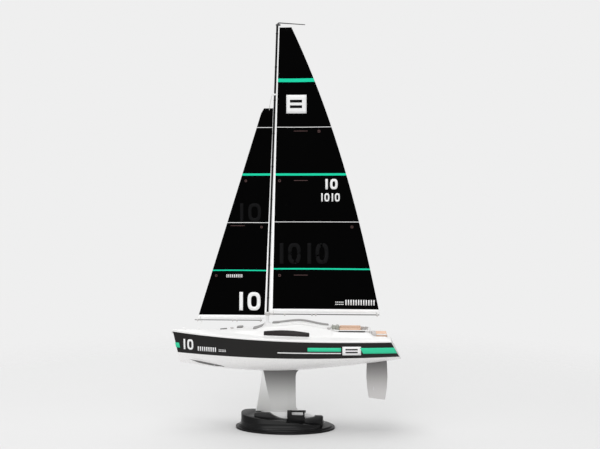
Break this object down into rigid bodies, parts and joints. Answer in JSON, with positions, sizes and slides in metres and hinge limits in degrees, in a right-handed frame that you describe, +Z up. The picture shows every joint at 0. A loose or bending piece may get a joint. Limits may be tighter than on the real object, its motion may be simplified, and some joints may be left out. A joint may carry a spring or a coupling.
{
  "type": "radio controlled sailing yacht",
  "caption": "Model racing yacht with swinging main and jib booms, steerable rudder, ballasted fin keel and radio gear, resting in an oval display stand.",
  "frame": {"origin": "centre of the display stand's underside, on the surface it rests on", "axes": "+X towards the stern, -Y to port, +Z up"},
  "size_m": [0.2666, 0.07, 0.4675],
  "materials": {
    "stand_plastic": "satin black moulding",
    "foot_rubber": "matte",
    "steel": "fine turned steel",
    "hull_gloss": "white gelcoat with a black band and green bars",
    "deck_gloss": "white satin moulding",
    "bumper": "soft matte",
    "window_tint": "dark tinted, glossy",
    "grey_fitting": "satin grey",
    "teak": "oiled teak planking with dark caulk lines",
    "ballast": "painted light grey",
    "fin_plastic": "white satin moulding",
    "inner_plastic": "plain moulding",
    "brass": "drawn tube",
    "mast_carbon": "dark carbon tube",
    "mast_white": "white sleeve",
    "alloy": "grey anodised",
    "sail_cloth": "black film sailcloth with white edges and green bands",
    "nylon_white": "moulded nylon",
    "servo_blue": "translucent blue case",
    "circuit": "green board",
    "wire": "matte sheath",
    "battery_wrap": "shrink wrapped cells",
    "knob_red": "moulded"
  },
  "bodies": {
    "stand": {"stand_base": "stand_plastic", "stand_cradle": "stand_plastic", "bulb_clip": "stand_plastic", "stand_feet": "foot_rubber", "stand_screws": "steel"},
    "hull": {"hull_shell": "hull_gloss", "deck_shell": "deck_gloss", "bow_bumper": "bumper", "cabin_windows": "window_tint", "front_window": "grey_fitting", "fore_hatch": "grey_fitting", "cockpit_tub": "deck_gloss", "cockpit_seats": "teak", "cockpit_console": "grey_fitting", "winch_posts": "grey_fitting", "stern_step": "teak", "stern_block": "grey_fitting", "deck_eyes": "steel", "fairleads": "steel", "keel_fin": "fin_plastic", "keel_bulb": "ballast", "keel_bolt": "steel", "keel_nut": "steel", "keel_box": "inner_plastic", "rudder_tube": "brass", "mast_foot": "mast_white", "mast_tube": "mast_carbon", "mast_collar": "grey_fitting", "masthead_crane": "alloy", "mast_step": "mast_white", "servo_tray": "inner_plastic", "tray_screws": "steel", "rudder_servo": "servo_blue", "sail_winch": "servo_blue", "receiver": "circuit", "antenna": "wire", "battery_pack": "battery_wrap", "switch_body": "stand_plastic"},
    "hatch": {"cabin_hatch": "deck_gloss"},
    "rudder": {"rudder_blade": "fin_plastic", "rudder_stock": "steel", "tiller_arm": "stand_plastic"},
    "servo_horn": {"servo_horn": "nylon_white"},
    "pushrod": {"pushrod": "steel"},
    "winch_arm": {"winch_arm": "nylon_white"},
    "switch_knob": {"switch_knob": "knob_red"},
    "main_rig": {"main_boom": "alloy", "gooseneck": "grey_fitting", "boom_fittings": "grey_fitting", "mainsail": "sail_cloth", "luff_rings": "nylon_white"},
    "jib_rig": {"jib_boom": "alloy", "jib_fittings": "grey_fitting", "jib_sail": "sail_cloth", "jib_swivel": "steel"}
  },
  "joints": [
    {"name": "boat_lift", "type": "slide", "parent": "stand", "child": "hull", "axis": [0, 0, 1], "range_m": [0, 0.06]},
    {"name": "hatch_lift", "type": "slide", "parent": "hull", "child": "hatch", "axis": [0, 0, 1], "range_m": [0, 0.004]},
    {"name": "rudder_turn", "type": "hinge", "parent": "hull", "child": "rudder", "pos_m": [0.102, 0, 0.09], "axis": [0, 0, 1], "range_deg": [-35, 35]},
    {"name": "servo_horn_turn", "type": "hinge", "parent": "hull", "child": "servo_horn", "pos_m": [0.075, 0, 0.102], "axis": [0, 0, 1], "range_deg": [-35, 35]},
    {"name": "pushrod_pivot", "type": "hinge", "parent": "servo_horn", "child": "pushrod", "pos_m": [0.075, 0.009, 0.103], "axis": [0, 0, 1], "range_deg": [-35, 35]},
    {"name": "winch_arm_turn", "type": "hinge", "parent": "hull", "child": "winch_arm", "pos_m": [0.03, 0, 0.102], "axis": [0, 0, 1], "range_deg": [-50, 50]},
    {"name": "switch_slide", "type": "slide", "parent": "hull", "child": "switch_knob", "axis": [1, 0, 0], "range_m": [0, 0.0035]},
    {"name": "main_boom_swing", "type": "hinge", "parent": "hull", "child": "main_rig", "pos_m": [-0.02048, 0, 0.132], "axis": [0.0349, 0, 0.9994], "range_deg": [-80, 80]},
    {"name": "jib_boom_swing", "type": "hinge", "parent": "hull", "child": "jib_rig", "pos_m": [-0.095, 0, 0.13], "axis": [0.2994, 0, 0.9541], "range_deg": [-70, 70]}
  ],
  "couplings": [
    {"joint": "servo_horn_turn", "follows": "rudder_turn", "ratio": 1},
    {"joint": "pushrod_pivot", "follows": "rudder_turn", "ratio": -1}
  ]
}
